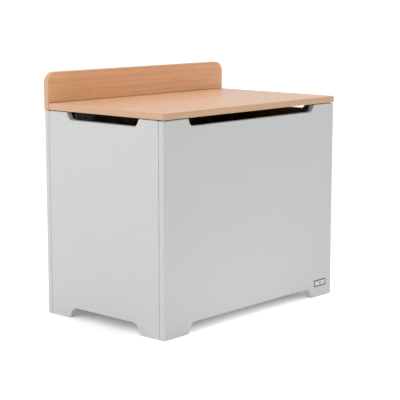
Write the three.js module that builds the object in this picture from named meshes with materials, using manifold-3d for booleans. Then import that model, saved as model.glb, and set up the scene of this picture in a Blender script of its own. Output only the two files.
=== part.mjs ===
// Wooden toy box: a flat-pack chest with painted panels, an oak-coloured hinged lid, a fixed backboard
// behind the lid, two flush hinges and two lid stays that hold the lid wherever it is left.
// Millimetres. +X is the box's width, to the right. The front faces -Y, and +Z is up.
// The origin is on the floor, under the middle of the closed box.
import * as THREE from "three";
import { mergeVertices } from "three/addons/utils/BufferGeometryUtils.js";
import Module from "manifold-3d";

const wasm = await Module();
wasm.setup();

// ---- Driving dimensions ----

const WIDTH = 600;
const DEPTH = 377;
const LID_TOP = 491;
const BACKBOARD_TOP = 561;
const BOARD = 15; // thickness of every panel, the lid and the backboard
const OVERHANG = 0.8; // how far the lid stands proud of the panels at the front and the sides
const LID_GAP = 1.5; // bumper gap between the panels' top edges and the lid
const SEAM = 0.2; // glue line or loose fit between two boards

// Hand slots in the top edges and arches between the feet: half is half the width of the mouth.
const SLOT = { depth: 17.2, lip: 3, hollow: 14, half: { cross: 223.2, side: 115.5 } };
const ARCH = { depth: 25.2, lip: 4, hollow: 19, half: { cross: 225, side: 116.5 } };
const NOTCH_SLOPE = THREE.MathUtils.degToRad(66);
const NOTCH_STEPS = 7; // facets in each curve of a notch

const BACKBOARD_CORNER = 25;
const BASE_THICKNESS = 12;
const BATTEN = 18; // square section of the battens under the base
const BATTEN_BOTTOM = 28;

const ROUND = 16; // facets of a small round piece
const DRUM = 24; // facets of a larger one
const CORNER = 2; // half the facets in a rounded corner
const CLEARANCE = 0.3; // around every pin, dowel and cam

const BADGE = { x: 253, z: 34.5, width: 45, height: 16, thick: 0.7, border: 2.6, recess: 0.3, corner: 1.6 };

// Corner fittings, on the centre line of each side panel's ends
const CAM = { radius: 7.3, length: 11.8, inset: 34, slotHalf: 3.4, neckHalf: 2.1 };
const CAM_HEIGHTS = { upper: 430, lower: 75 };
const BOLT = { thread: 2.5, threadLength: 10, shank: 3, neck: 1.7, neckLength: 9, head: 2.9, headLength: 3 };
const DOWEL = { radius: 4, shallow: 10, deep: 20, height: 250 };
const BACKBOARD_DOWEL = { x: 150, half: 18 };

// Hinges: each barrel lies in a recess in the lid's rear edge, just under the lid's top. The lid's rear top
// edge is rounded as far down as the pin's line, so that it turns clear of the backboard.
const HINGE = { x: 190, length: 60, knuckles: 5, radius: 2.4, bore: 1.3, pin: 1.05, leaf: 1.2 };
const HINGE_GAP = 2.9; // from the pin's line to the recess, and to the backboard
const HINGE_DROP = 2.5; // from the lid's top down to the pin's line
const REAR_GAP = 0.5; // from the lid to the backboard
const FIXED_LEAF_HEIGHT = 46;
const MOVING_LEAF_REACH = 40;
const LEAF_FIT = 0.1; // between a leaf and its board

// Lid stays: with the hinge line, the three pivots of each make a parallelogram.
// Offsets are forward of and below the hinge line, with the lid closed.
const STAY_LID_PIVOT = { forward: 48, down: 25 };
const STAY_BASE_PIVOT = { forward: 14, down: 120 };
const STAY = { thick: 2.7, gap: 0.3, arm: 8, link: 7, pin: 3, head: 5, headThick: 1.2 };
const STAY_PLATE = { thick: 3, halfWidth: 15, halfHeight: 35, corner: 5 };
const STAY_BARREL = { radius: 14.5, length: 9 };
const STAY_FOOT = { thick: 2, reach: 17, halfLength: 20 };

const BUMPER = { radius: 5, thick: 1.2, frontX: 255, rearY: 140 };

// ---- Derived positions ----

const LID_BOTTOM = LID_TOP - BOARD;
const PANEL_TOP = LID_BOTTOM - LID_GAP;
const FRONT = -DEPTH / 2;
const BACK = DEPTH / 2;
const PANEL_HALF = WIDTH / 2 - OVERHANG;
const INNER_HALF = PANEL_HALF - BOARD;
const FRONT_FACE = FRONT + OVERHANG;
const INNER_FRONT = FRONT_FACE + BOARD;
const INNER_BACK = BACK - BOARD;
const SIDE_FRONT = INNER_FRONT + SEAM;
const SIDE_BACK = INNER_BACK - SEAM;
const HINGE_Y = INNER_BACK - HINGE_GAP;
const HINGE_Z = LID_TOP - HINGE_DROP;
const RECESS_FLOOR = HINGE_Y - HINGE_GAP;
const LID_REAR = INNER_BACK - REAR_GAP;
const SIDES = { left: -1, right: 1 };

// ---- Materials ----

const finish = (color, roughness, metalness = 0) =>
  new THREE.MeshStandardMaterial({ color, roughness, metalness });
const PAINT = finish(0xc6c9ca, 0.45);
const OAK = finish(0xd59b70, 0.35);
const RAW_WOOD = finish(0xd9bd93, 0.8);
const STEEL = finish(0xb4b6b8, 0.35, 1);
const ZINC = finish(0x9a9c9f, 0.5, 1);
const BLACK_PLASTIC = finish(0x2c2d2f, 0.5);
const BADGE_METAL = finish(0x77787a, 0.4, 1);
const RUBBER = finish(0x8d8f8f, 0.9);

// ---- Solids: closed geometries joined and cut ----

function solid(geometry) {
  const bare = new THREE.BufferGeometry();
  bare.setAttribute("position", geometry.getAttribute("position"));
  if (geometry.index) bare.setIndex(geometry.index);
  const merged = mergeVertices(bare, 1e-4);
  const vertProperties = new Float32Array(merged.attributes.position.array);
  const triVerts = new Uint32Array(merged.index.array);
  return new wasm.Manifold(new wasm.Mesh({ numProp: 3, vertProperties, triVerts }));
}

function geometryOf(manifold) {
  const made = manifold.getMesh();
  const geometry = new THREE.BufferGeometry();
  geometry.setAttribute("position", new THREE.BufferAttribute(made.vertProperties, 3));
  geometry.setIndex(new THREE.BufferAttribute(made.triVerts, 1));
  geometry.computeVertexNormals();
  return geometry;
}

const cut = (body, tools) => tools.reduce((rest, tool) => rest.subtract(solid(tool)), body);
const join = (geometries) => geometries.map(solid).reduce((all, next) => all.add(next));

// ---- Basic shapes, placed by their lowest and highest values ----

function block([x0, x1], [y0, y1], [z0, z1]) {
  const box = new THREE.BoxGeometry(x1 - x0, y1 - y0, z1 - z0);
  return box.translate((x0 + x1) / 2, (y0 + y1) / 2, (z0 + z1) / 2);
}

// Rods along X, Y and Z between two values, centred on the other two coordinates.
function rodX(radius, [x0, x1], y, z, facets = ROUND) {
  const rod = new THREE.CylinderGeometry(radius, radius, x1 - x0, facets);
  return rod.rotateZ(Math.PI / 2).translate((x0 + x1) / 2, y, z);
}

function rodY(radius, x, [y0, y1], z, facets = ROUND) {
  const rod = new THREE.CylinderGeometry(radius, radius, y1 - y0, facets);
  return rod.translate(x, (y0 + y1) / 2, z);
}

function rodZ(radius, x, y, [z0, z1], facets = ROUND) {
  const rod = new THREE.CylinderGeometry(radius, radius, z1 - z0, facets);
  return rod.rotateX(Math.PI / 2).translate(x, y, (z0 + z1) / 2);
}

// A profile of [radius, height] pairs turned about the Y axis.
function turned(profile) {
  return new THREE.LatheGeometry(
    profile.map(([radius, height]) => new THREE.Vector2(radius, height)),
    ROUND,
  );
}

function extruded(shape, depth, facets = ROUND / 2) {
  return new THREE.ExtrudeGeometry(shape, { depth, bevelEnabled: false, curveSegments: facets });
}

// An outline drawn in X and Z, as thick as the Y range.
function slabXZ(shape, [y0, y1], facets) {
  return extruded(shape, y1 - y0, facets).rotateX(Math.PI / 2).translate(0, y1, 0);
}

// An outline drawn in Y and Z, as thick as the X range.
function slabYZ(shape, [x0, x1], facets) {
  const upright = new THREE.Matrix4().makeBasis(
    new THREE.Vector3(0, 1, 0),
    new THREE.Vector3(0, 0, 1),
    new THREE.Vector3(1, 0, 0),
  );
  return extruded(shape, x1 - x0, facets).applyMatrix4(upright).translate(x0, 0, 0);
}

function roundedRectangle(u0, v0, u1, v1, radius) {
  const shape = new THREE.Shape();
  shape.absarc(u1 - radius, v0 + radius, radius, -Math.PI / 2, 0);
  shape.absarc(u1 - radius, v1 - radius, radius, 0, Math.PI / 2);
  shape.absarc(u0 + radius, v1 - radius, radius, Math.PI / 2, Math.PI);
  shape.absarc(u0 + radius, v0 + radius, radius, Math.PI, Math.PI * 1.5);
  return shape;
}

function addHole(shape, [u, v], radius) {
  shape.holes.push(new THREE.Path().absarc(u, v, radius, 0, Math.PI * 2, true));
}

// ---- Scene graph ----

const toyBox = new THREE.Group();
toyBox.name = "toy_box";

function add(name, geometry, material) {
  const mesh = new THREE.Mesh(geometry, material);
  mesh.name = name;
  toyBox.add(mesh);
}

// ---- Panels ----

// Half of a notch, from the board's edge to the notch's flat: [distance from its middle, depth] pairs.
function notchEnd({ depth, lip, hollow, half }, kind) {
  const rise = 1 - Math.cos(NOTCH_SLOPE);
  const slopeRun = (depth - (lip + hollow) * rise) / Math.tan(NOTCH_SLOPE);
  const mouth = half[kind];
  const flat = mouth - slopeRun - (lip + hollow) * Math.sin(NOTCH_SLOPE);
  const points = [];
  for (let i = 0; i <= NOTCH_STEPS; i++) {
    const turn = (NOTCH_SLOPE * i) / NOTCH_STEPS;
    points.push([mouth - lip * Math.sin(turn), lip * (1 - Math.cos(turn))]);
  }
  for (let i = NOTCH_STEPS; i >= 0; i--) {
    const turn = (NOTCH_SLOPE * i) / NOTCH_STEPS;
    points.push([flat + hollow * Math.sin(turn), depth - hollow * (1 - Math.cos(turn))]);
  }
  return points;
}

// A panel's outline from low to high u: an arch in its foot, and a hand slot in its top edge if it has one.
function panelOutline(low, high, top, kind, hasSlot) {
  const arch = notchEnd(ARCH, kind);
  const points = [[low, 0]];
  arch.forEach(([u, v]) => points.push([-u, v]));
  arch.toReversed().forEach(([u, v]) => points.push([u, v]));
  points.push([high, 0], [high, top]);
  if (hasSlot) {
    const slot = notchEnd(SLOT, kind);
    slot.forEach(([u, v]) => points.push([u, top - v]));
    slot.toReversed().forEach(([u, v]) => points.push([-u, top - v]));
  }
  points.push([low, top]);
  return new THREE.Shape(points.map(([u, v]) => new THREE.Vector2(u, v)));
}

// The four upright seams: front is -1 and rear is +1 along Y, left is -1 and right is +1 along X.
const SEAMS = [
  { name: "front_left", end: -1, side: -1 },
  { name: "front_right", end: -1, side: 1 },
  { name: "rear_left", end: 1, side: -1 },
  { name: "rear_right", end: 1, side: 1 },
];
const seamX = (side) => side * (PANEL_HALF - BOARD / 2);
const seamY = (end) => (end < 0 ? INNER_FRONT : INNER_BACK);
const camY = (end) => (end < 0 ? SIDE_FRONT + CAM.inset : SIDE_BACK - CAM.inset);
const span = (a, b) => [Math.min(a, b), Math.max(a, b)];

// Holes in the front or back panel for the cam bolts' threads and the dowels.
function crossPanelHoles(end) {
  const face = seamY(end);
  const holes = [];
  for (const side of [-1, 1]) {
    const x = seamX(side);
    const dowelHole = span(face - end, face + end * (DOWEL.shallow + CLEARANCE));
    holes.push(rodY(DOWEL.radius + CLEARANCE, x, dowelHole, DOWEL.height));
    const boltHole = span(face - end, face + end * (BOLT.threadLength + CLEARANCE));
    for (const z of Object.values(CAM_HEIGHTS)) {
      holes.push(rodY(BOLT.thread + CLEARANCE, x, boltHole, z));
    }
  }
  return holes;
}

// Holes in a side panel: a bore from each end for bolt and dowel, and a pocket for each cam lock.
function sidePanelHoles(side) {
  const x = seamX(side);
  const pocketX = span(side * (INNER_HALF - 1), side * (INNER_HALF + CAM.length + 2 * CLEARANCE));
  const holes = [];
  for (const end of [-1, 1]) {
    const face = seamY(end);
    const dowelHole = span(face + end, face - end * (DOWEL.deep + CLEARANCE));
    holes.push(rodY(DOWEL.radius + CLEARANCE, x, dowelHole, DOWEL.height));
    for (const z of Object.values(CAM_HEIGHTS)) {
      holes.push(rodY(BOLT.shank + CLEARANCE, x, span(face + end, camY(end)), z));
      holes.push(rodX(CAM.radius + CLEARANCE, pocketX, camY(end), z, DRUM));
    }
  }
  return holes;
}

function addPanels() {
  const across = [-PANEL_HALF, PANEL_HALF];
  const front = slabXZ(panelOutline(...across, PANEL_TOP, "cross", true), [FRONT_FACE, INNER_FRONT]);
  add("front_panel", geometryOf(cut(solid(front), crossPanelHoles(-1))), PAINT);

  const back = slabXZ(panelOutline(...across, LID_BOTTOM, "cross", false), [INNER_BACK, BACK]);
  const dowels = [-1, 1].map((side) => backboardDowel(side, CLEARANCE));
  add("back_panel", geometryOf(cut(solid(back), [...crossPanelHoles(1), ...dowels])), PAINT);

  for (const [name, side] of Object.entries(SIDES)) {
    const outline = panelOutline(SIDE_FRONT, SIDE_BACK, PANEL_TOP, "side", true);
    const panel = slabYZ(outline, span(side * INNER_HALF, side * PANEL_HALF));
    add(`${name}_side_panel`, geometryOf(cut(solid(panel), sidePanelHoles(side))), PAINT);
  }
}

function addBase() {
  const half = INNER_HALF - SEAM;
  const bottom = BATTEN_BOTTOM + BATTEN;
  const z = [BATTEN_BOTTOM, bottom];
  add("base_panel", block([-half, half], [SIDE_FRONT, SIDE_BACK], [bottom, bottom + BASE_THICKNESS]), PAINT);
  const long = [-half + BATTEN, half - BATTEN];
  add("front_base_batten", block(long, [SIDE_FRONT, SIDE_FRONT + BATTEN], z), RAW_WOOD);
  add("rear_base_batten", block(long, [SIDE_BACK - BATTEN, SIDE_BACK], z), RAW_WOOD);
  const short = [SIDE_FRONT + BATTEN + SEAM, SIDE_BACK - BATTEN - SEAM];
  for (const [name, side] of Object.entries(SIDES)) {
    add(`${name}_base_batten`, block(span(side * half, side * (half - BATTEN)), short, z), RAW_WOOD);
  }
}

// ---- Lid and backboard ----

// The peg between the back panel and the backboard, or with spare > 0 the hole for it.
function backboardDowel(side, spare) {
  const reach = BACKBOARD_DOWEL.half + spare;
  const y = (INNER_BACK + BACK) / 2;
  return rodZ(DOWEL.radius + spare, side * BACKBOARD_DOWEL.x, y, [LID_BOTTOM - reach, LID_BOTTOM + reach]);
}

function addBackboard() {
  const half = WIDTH / 2;
  const shoulder = BACKBOARD_TOP - BACKBOARD_CORNER;
  const outline = new THREE.Shape();
  outline.moveTo(-half, LID_BOTTOM);
  outline.lineTo(half, LID_BOTTOM);
  outline.absarc(half - BACKBOARD_CORNER, shoulder, BACKBOARD_CORNER, 0, Math.PI / 2);
  outline.absarc(BACKBOARD_CORNER - half, shoulder, BACKBOARD_CORNER, Math.PI / 2, Math.PI);
  const board = slabXZ(outline, [INNER_BACK, BACK], 3 * CORNER);
  const holes = [-1, 1].map((side) => backboardDowel(side, CLEARANCE));
  add("backboard", geometryOf(cut(solid(board), holes)), OAK);
  for (const [name, side] of Object.entries(SIDES)) {
    add(`${name}_backboard_dowel`, backboardDowel(side, 0), RAW_WOOD);
  }
}

function addLid() {
  const section = new THREE.Shape();
  section.moveTo(FRONT, LID_BOTTOM);
  section.lineTo(LID_REAR, LID_BOTTOM);
  section.absarc(LID_REAR - HINGE_DROP, HINGE_Z, HINGE_DROP, 0, Math.PI / 2);
  section.lineTo(FRONT, LID_TOP);
  const board = slabYZ(section, [-WIDTH / 2, WIDTH / 2], 2 * CORNER);
  const half = HINGE.length / 2 + CLEARANCE;
  const recesses = [-HINGE.x, HINGE.x].map((x) =>
    block([x - half, x + half], [RECESS_FLOOR, LID_REAR + 1], [LID_BOTTOM - 1, LID_TOP + 1]),
  );
  add("lid", geometryOf(cut(solid(board), recesses)), OAK);

  const z = [LID_BOTTOM - BUMPER.thick, LID_BOTTOM];
  const frontY = (FRONT_FACE + INNER_FRONT) / 2;
  for (const [name, side] of Object.entries(SIDES)) {
    add(`front_${name}_bumper`, rodZ(BUMPER.radius, side * BUMPER.frontX, frontY, z), RUBBER);
    add(`rear_${name}_bumper`, rodZ(BUMPER.radius, seamX(side), BUMPER.rearY, z), RUBBER);
  }
}

// ---- Badge: a blank plate with a raised border ----

function addBadge() {
  const { x, z, width, height, thick, border, recess, corner } = BADGE;
  const face = FRONT_FACE - LEAF_FIT / 2;
  const frame = (inset, radius) =>
    roundedRectangle(
      x - width / 2 + inset,
      z - height / 2 + inset,
      x + width / 2 - inset,
      z + height / 2 - inset,
      radius,
    );
  const plate = slabXZ(frame(0, corner), [face - thick, face], CORNER);
  const hollow = slabXZ(frame(border, corner / 2), [face - thick - 1, face - thick + recess], CORNER);
  add("badge_plate", geometryOf(cut(solid(plate), [hollow])), BADGE_METAL);
}

// ---- Corner fittings ----

// A cam bolt about its own Y axis, with y = 0 at the seam and its head towards -Y times the panel's end.
function boltGeometry(end) {
  const toCam = CAM.inset - SEAM;
  const neckEnd = -toCam - 1;
  const shankEnd = neckEnd + BOLT.neckLength;
  const profile = [
    [0, neckEnd - BOLT.headLength],
    [BOLT.head, neckEnd - BOLT.headLength],
    [BOLT.head, neckEnd],
    [BOLT.neck, neckEnd],
    [BOLT.neck, shankEnd],
    [BOLT.shank, shankEnd],
    [BOLT.shank, -SEAM],
    [BOLT.thread, -SEAM],
    [BOLT.thread, BOLT.threadLength - 2],
    [0, BOLT.threadLength],
  ];
  if (end > 0) return turned(profile);
  return turned(profile.map(([radius, height]) => [radius, -height]).reverse());
}

// A cam lock: a drum with a slot that holds the bolt's head, and a cross recess in its face.
function camGeometry(side, end, z) {
  const y = camY(end);
  const face = INNER_HALF + CLEARANCE / 2;
  const middle = PANEL_HALF - BOARD / 2;
  const drum = rodX(CAM.radius, span(side * face, side * (face + CAM.length)), y, z, DRUM);
  const across = (half) => span(side * (middle - half), side * (middle + half));
  const cavity = block(across(CAM.slotHalf), span(y + end * 0.6, y - end * 4.6), [
    z - CAM.slotHalf,
    z + CAM.slotHalf,
  ]);
  const mouth = block(across(CAM.neckHalf), span(y, y + end * (CAM.radius + 1)), [
    z - CAM.neckHalf,
    z + CAM.neckHalf,
  ]);
  const recess = span(side * (face - 1), side * (face + 1.6));
  const cross = [
    block(recess, [y - 4, y + 4], [z - 0.7, z + 0.7]),
    block(recess, [y - 0.7, y + 0.7], [z - 4, z + 4]),
  ];
  return geometryOf(cut(solid(drum), [cavity, mouth, ...cross]));
}

function addCornerFittings() {
  for (const { name, end, side } of SEAMS) {
    const x = seamX(side);
    for (const [level, z] of Object.entries(CAM_HEIGHTS)) {
      add(`${name}_${level}_cam_bolt`, boltGeometry(end).translate(x, seamY(end), z), ZINC);
      add(`${name}_${level}_cam_lock`, camGeometry(side, end, z), ZINC);
    }
    const face = seamY(end);
    const y = span(face + end * DOWEL.shallow, face - end * DOWEL.deep);
    add(`${name}_corner_dowel`, rodY(DOWEL.radius, x, y, DOWEL.height), RAW_WOOD);
  }
}

// ---- Hinges ----

// The barrel segments of one leaf: every second knuckle, each with its own tab down to the plate.
// toward is +1 for the leaf on the backboard and -1 for the leaf on the lid.
function knuckles(x, first, toward) {
  const pitch = HINGE.length / HINGE.knuckles;
  const ring = new THREE.Shape().absarc(HINGE_Y, HINGE_Z, HINGE.radius, 0, Math.PI * 2);
  addHole(ring, [HINGE_Y, HINGE_Z], HINGE.bore);
  const outer = HINGE_GAP - LEAF_FIT;
  const tabY = span(HINGE_Y + toward * outer, HINGE_Y + toward * (outer - HINGE.leaf));
  const pieces = [];
  for (let i = first; i < HINGE.knuckles; i += 2) {
    const start = x - HINGE.length / 2 + i * pitch;
    const range = [start + CLEARANCE / 2, start + pitch - CLEARANCE / 2];
    pieces.push(slabYZ(ring, range));
    pieces.push(block(range, tabY, [HINGE_Z - 2 * HINGE.radius, HINGE_Z]));
  }
  return pieces;
}

function addHinge(name, x) {
  const along = [x - HINGE.length / 2, x + HINGE.length / 2];
  const outer = HINGE_GAP - LEAF_FIT;
  const plateTop = HINGE_Z - HINGE.radius - 2 * CLEARANCE;

  const wallY = [HINGE_Y + outer - HINGE.leaf, HINGE_Y + outer];
  const wall = block(along, wallY, [HINGE_Z - FIXED_LEAF_HEIGHT, plateTop]);
  add(`${name}_hinge_fixed_leaf`, geometryOf(join([wall, ...knuckles(x, 0, 1)])), STEEL);

  const underside = LID_BOTTOM - LEAF_FIT;
  const edgeY = [HINGE_Y - outer, HINGE_Y - outer + HINGE.leaf];
  const edge = block(along, edgeY, [underside - HINGE.leaf, plateTop]);
  const plateY = [RECESS_FLOOR - MOVING_LEAF_REACH, edgeY[1]];
  const plate = block(along, plateY, [underside - HINGE.leaf, underside]);
  add(`${name}_hinge_moving_leaf`, geometryOf(join([edge, plate, ...knuckles(x, 1, -1)])), STEEL);

  add(`${name}_hinge_pin`, rodX(HINGE.pin, along, HINGE_Y, HINGE_Z), STEEL);
}

// ---- Lid stays ----

const pivot = ({ forward, down }) => [HINGE_Y - forward, HINGE_Z - down];
const LID_PIVOT = pivot(STAY_LID_PIVOT);
const BASE_PIVOT = pivot(STAY_BASE_PIVOT);
const KNEE_PIVOT = pivot({
  forward: STAY_BASE_PIVOT.forward + STAY_LID_PIVOT.forward,
  down: STAY_BASE_PIVOT.down + STAY_LID_PIVOT.down,
});

// Distances from the middle of the box to the layers of a stay, from the side panel inwards.
const plateOut = INNER_HALF - SEAM;
const barrelOut = plateOut - STAY_PLATE.thick;
const armOut = barrelOut - STAY_BARREL.length - STAY.gap;
const linkOut = armOut - STAY.thick - STAY.gap;
const linkIn = linkOut - STAY.thick;

// A flat bar in Y and Z with round ends about two pivots, and a hole at each.
function barShape([ya, za], [yb, zb], half, holes) {
  const along = Math.atan2(zb - za, yb - ya);
  const shape = new THREE.Shape();
  shape.absarc(yb, zb, half, along - Math.PI / 2, along + Math.PI / 2);
  shape.absarc(ya, za, half, along + Math.PI / 2, along + Math.PI * 1.5);
  addHole(shape, [ya, za], holes[0]);
  addHole(shape, [yb, zb], holes[1]);
  return shape;
}

// A rivet along X with a head at each end that stands outside the range.
function rivet(side, inner, outer, [y, z]) {
  const reach = (a, b) => span(side * a, side * b);
  return geometryOf(
    join([
      rodX(STAY.pin, reach(inner - STAY.headThick / 2, outer + STAY.headThick / 2), y, z),
      rodX(STAY.head, reach(inner - STAY.headThick, inner), y, z),
      rodX(STAY.head, reach(outer, outer + STAY.headThick), y, z),
    ]),
  );
}

function stayHousing(side) {
  const [y, z] = BASE_PIVOT;
  const { halfWidth, halfHeight, corner } = STAY_PLATE;
  const outline = roundedRectangle(y - halfWidth, z - halfHeight, y + halfWidth, z + halfHeight, corner);
  const plate = slabYZ(outline, span(side * barrelOut, side * plateOut), CORNER);
  const barrelIn = barrelOut - STAY_BARREL.length;
  const barrel = rodX(STAY_BARREL.radius, span(side * barrelIn, side * (barrelOut + 1)), y, z, DRUM);
  const bore = rodX(STAY.pin + CLEARANCE, span(side * (barrelIn - 1), side * (plateOut + 1)), y, z);
  return geometryOf(cut(join([plate, barrel]), [bore]));
}

// The screw that the arm turns on: a head inside the arm, and a shank through the barrel.
function basePivot(side) {
  const [y, z] = BASE_PIVOT;
  const armIn = armOut - STAY.thick - STAY.gap;
  const head = rodX(STAY.head, span(side * (armIn - STAY.headThick), side * armIn), y, z);
  const shank = rodX(STAY.pin, span(side * (armIn - STAY.headThick / 2), side * plateOut), y, z);
  return geometryOf(join([head, shank]));
}

function lidBracket(side) {
  const [y, z] = LID_PIVOT;
  const top = LID_BOTTOM - LEAF_FIT;
  const foot = block(
    span(side * armOut, side * (armOut - STAY_FOOT.reach)),
    [y - STAY_FOOT.halfLength, y + STAY_FOOT.halfLength],
    [top - STAY_FOOT.thick, top],
  );
  const lug = new THREE.Shape();
  lug.absarc(y, z, STAY.link, Math.PI, Math.PI * 2);
  lug.lineTo(y + STAY.link, top - STAY_FOOT.thick / 2);
  lug.lineTo(y - STAY.link, top - STAY_FOOT.thick / 2);
  addHole(lug, [y, z], STAY.pin + CLEARANCE);
  return geometryOf(join([foot, slabYZ(lug, span(side * armOut, side * (armOut - STAY.thick)))]));
}

function addStay(name, side) {
  const fit = STAY.pin + CLEARANCE;
  const layer = (outer) => span(side * outer, side * (outer - STAY.thick));
  const arm = barShape(BASE_PIVOT, KNEE_PIVOT, STAY.arm, [fit, fit]);
  const link = barShape(KNEE_PIVOT, LID_PIVOT, STAY.link, [fit + CLEARANCE, fit]);
  add(`${name}_stay_housing`, stayHousing(side), BLACK_PLASTIC);
  add(`${name}_stay_base_pivot`, basePivot(side), ZINC);
  add(`${name}_stay_arm`, slabYZ(arm, layer(armOut)), STEEL);
  add(`${name}_stay_knee_pivot`, rivet(side, linkIn - STAY.gap, armOut + STAY.gap, KNEE_PIVOT), ZINC);
  add(`${name}_stay_link`, slabYZ(link, layer(linkOut)), STEEL);
  add(`${name}_stay_lid_pivot`, rivet(side, linkIn - STAY.gap, armOut + STAY.gap, LID_PIVOT), ZINC);
  add(`${name}_stay_lid_bracket`, lidBracket(side), STEEL);
}

// ---- The box ----

addPanels();
addBase();
addBackboard();
addLid();
addBadge();
addCornerFittings();
for (const [name, side] of Object.entries(SIDES)) {
  addHinge(name, side * HINGE.x);
  addStay(name, side);
}

export default toyBox;
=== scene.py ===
"""Looks of the wooden toy box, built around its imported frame. Metres, +X width, front faces -Y, +Z up.

Every board is rebuilt with rounded arrises and holes, and the fittings get their fine shape. Each material
is made of shader nodes. The frame's own nodes stay where a piece is fully hidden inside a board.
"""

import math

import bmesh
import bpy
from mathutils import Matrix, Vector


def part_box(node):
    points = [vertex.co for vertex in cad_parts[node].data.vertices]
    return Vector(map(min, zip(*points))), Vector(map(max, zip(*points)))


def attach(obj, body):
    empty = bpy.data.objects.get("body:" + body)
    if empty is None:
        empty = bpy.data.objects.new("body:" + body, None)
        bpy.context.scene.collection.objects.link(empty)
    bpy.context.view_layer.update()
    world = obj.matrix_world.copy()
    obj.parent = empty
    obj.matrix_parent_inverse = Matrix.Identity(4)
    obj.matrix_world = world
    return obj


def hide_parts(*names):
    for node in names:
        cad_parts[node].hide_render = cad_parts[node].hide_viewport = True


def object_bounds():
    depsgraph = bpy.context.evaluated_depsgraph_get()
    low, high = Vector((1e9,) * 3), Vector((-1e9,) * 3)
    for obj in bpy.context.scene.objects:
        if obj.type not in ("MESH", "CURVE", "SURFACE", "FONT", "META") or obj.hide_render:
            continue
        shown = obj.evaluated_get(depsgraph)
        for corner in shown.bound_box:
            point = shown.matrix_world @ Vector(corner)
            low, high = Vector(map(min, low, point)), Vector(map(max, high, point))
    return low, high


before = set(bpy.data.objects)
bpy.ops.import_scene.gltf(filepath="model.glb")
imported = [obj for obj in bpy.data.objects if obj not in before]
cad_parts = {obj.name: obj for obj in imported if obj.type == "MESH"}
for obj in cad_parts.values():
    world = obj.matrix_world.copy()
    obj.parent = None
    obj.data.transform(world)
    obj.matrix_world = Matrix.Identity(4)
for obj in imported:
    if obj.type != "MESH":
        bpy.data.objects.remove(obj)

cad_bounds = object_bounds()

MM = 0.001
QUARTER = math.pi / 2
SIDES = ("left", "right")
BEYOND = 1 * MM  # how far a cutter runs on past a face, or a joined part runs into the other
SHARP_ANGLE = math.radians(38)  # between faces, from which an edge isn't smoothed
SMALL_STEPS = 32  # round the pins and screws
ROUND_STEPS = 40  # round the larger turned parts

# ---- Shape of the boards, as in the frame ----

# Notches: cross and side are half the width of the mouth, in the front and back and in the side panels.
SLOT = {"depth": 17.2 * MM, "lip": 3 * MM, "hollow": 14 * MM, "cross": 223.2 * MM, "side": 115.5 * MM}
ARCH = {"depth": 25.2 * MM, "lip": 4 * MM, "hollow": 19 * MM, "cross": 225 * MM, "side": 116.5 * MM}
NOTCH_SLOPE = math.radians(66)
NOTCH_STEPS = 10
CORNER_STEPS = 6
ARRIS_STEPS = 5
OUTER_ARRIS = 3 * MM  # on the edges that hands touch
INNER_ARRIS = 1.1 * MM
END_SHARE = 1.4  # the upright outer corners of the box are rounder than the other arrises
LIP_SHARE = 0.75  # at the lips of the hand slots, whose curve is no wider than the arris
SEAM_SHARE = 0.5  # how much of an arris is left where two boards meet
SEAM_ROOM = 0.3 * MM  # gap left at each end of a side panel
PANEL_CORNER = 4.4 * MM
LID_CORNER = 3 * MM
LID_ARRIS = 1.8 * MM
LID_REAR_SHARE = 1.45  # the lid's rear edge is rounder, to turn clear of the backboard
BACKBOARD_CORNER = 25 * MM
BACKBOARD_STEPS = 24
BACKBOARD_FOOT = 0.8 * MM  # radius of its lower corners
FOOT_SHARE = 0.4  # how much of an arris is left along its lower edge
BASE_CORNER = 1.2 * MM
BATTEN_CORNER = 1.5 * MM
BATTEN_ARRIS = 1 * MM
FIT = 0.3 * MM  # room round a pin, cam or dowel

# ---- Fittings ----

RECESS = {"depth": 2.9 * MM, "room": 0.3 * MM, "corner": 1 * MM, "share": 0.3}
HINGE = {
    "gap": 2.8 * MM,  # from the pin's axis to the outer face of a leaf
    "leaf": 1.2 * MM,
    "radius": 2.4 * MM,
    "bore": 1.3 * MM,
    "pin": 1.05 * MM,
    "pin_dome": 0.4 * MM,
    "knuckles": 5,
    "play": 0.2 * MM,
    "corner": 4 * MM,
    "arris": 0.22 * MM,
    "bend": 1.1 * MM,
    "under": 0.6 * MM,  # from the barrel down to the end of the plain part of a leaf
    "mouth": math.radians(12),  # where the round of a knuckle starts, seen from its leaf
    "shoulder": 0.3,  # of the radius, from the axis down to the top of a knuckle's tab
    "fixed_screws": ((-22 * MM, 23 * MM), (0, 8 * MM), (22 * MM, 23 * MM)),  # from the middle and free edge
    "moving_screws": ((-22 * MM, 27 * MM), (0, 10 * MM), (22 * MM, 27 * MM)),
}
THIN = (HINGE["arris"], HINGE["arris"])
KNUCKLE_STEPS = 28
HEAD = {
    "radius": 3 * MM,
    "depth": 1.7 * MM,
    "shank": 1.4 * MM,
    "length": 9 * MM,
    "cross": 1.7 * MM,
    "blade": 0.42 * MM,
    "recess": 1.3 * MM,
    "rim": ((0.1 * MM, 0.15 * MM), (0, 0.08 * MM), (0.12 * MM, 0)),  # (in from the radius, under the face)
}
SINK_ROOM = {"head": 0.25 * MM, "rim": 0.1 * MM, "shank": 0.2 * MM, "end": 0.5 * MM}
SCREW_TURN = 0.7  # radians from one screw to the next
RIVET = {"head": 1.2 * MM, "pin": 3 * MM}
AXLE = {"inset": 0.5 * MM, "bevel": 0.4 * MM, "socket": 2.1 * MM, "sides": 6, "arris": 0.2 * MM}
LEVER = {
    "arm": 8 * MM,  # half the width of each lever
    "link": 7 * MM,
    "arris": 0.6 * MM,
    "bore": 3.15 * MM,
    "loose": 3.6 * MM,
    "groove": 2.6 * MM,
    "groove_arris": 0.4 * MM,
    "press": 0.7 * MM,
    "ends": 13 * MM,
}
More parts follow.
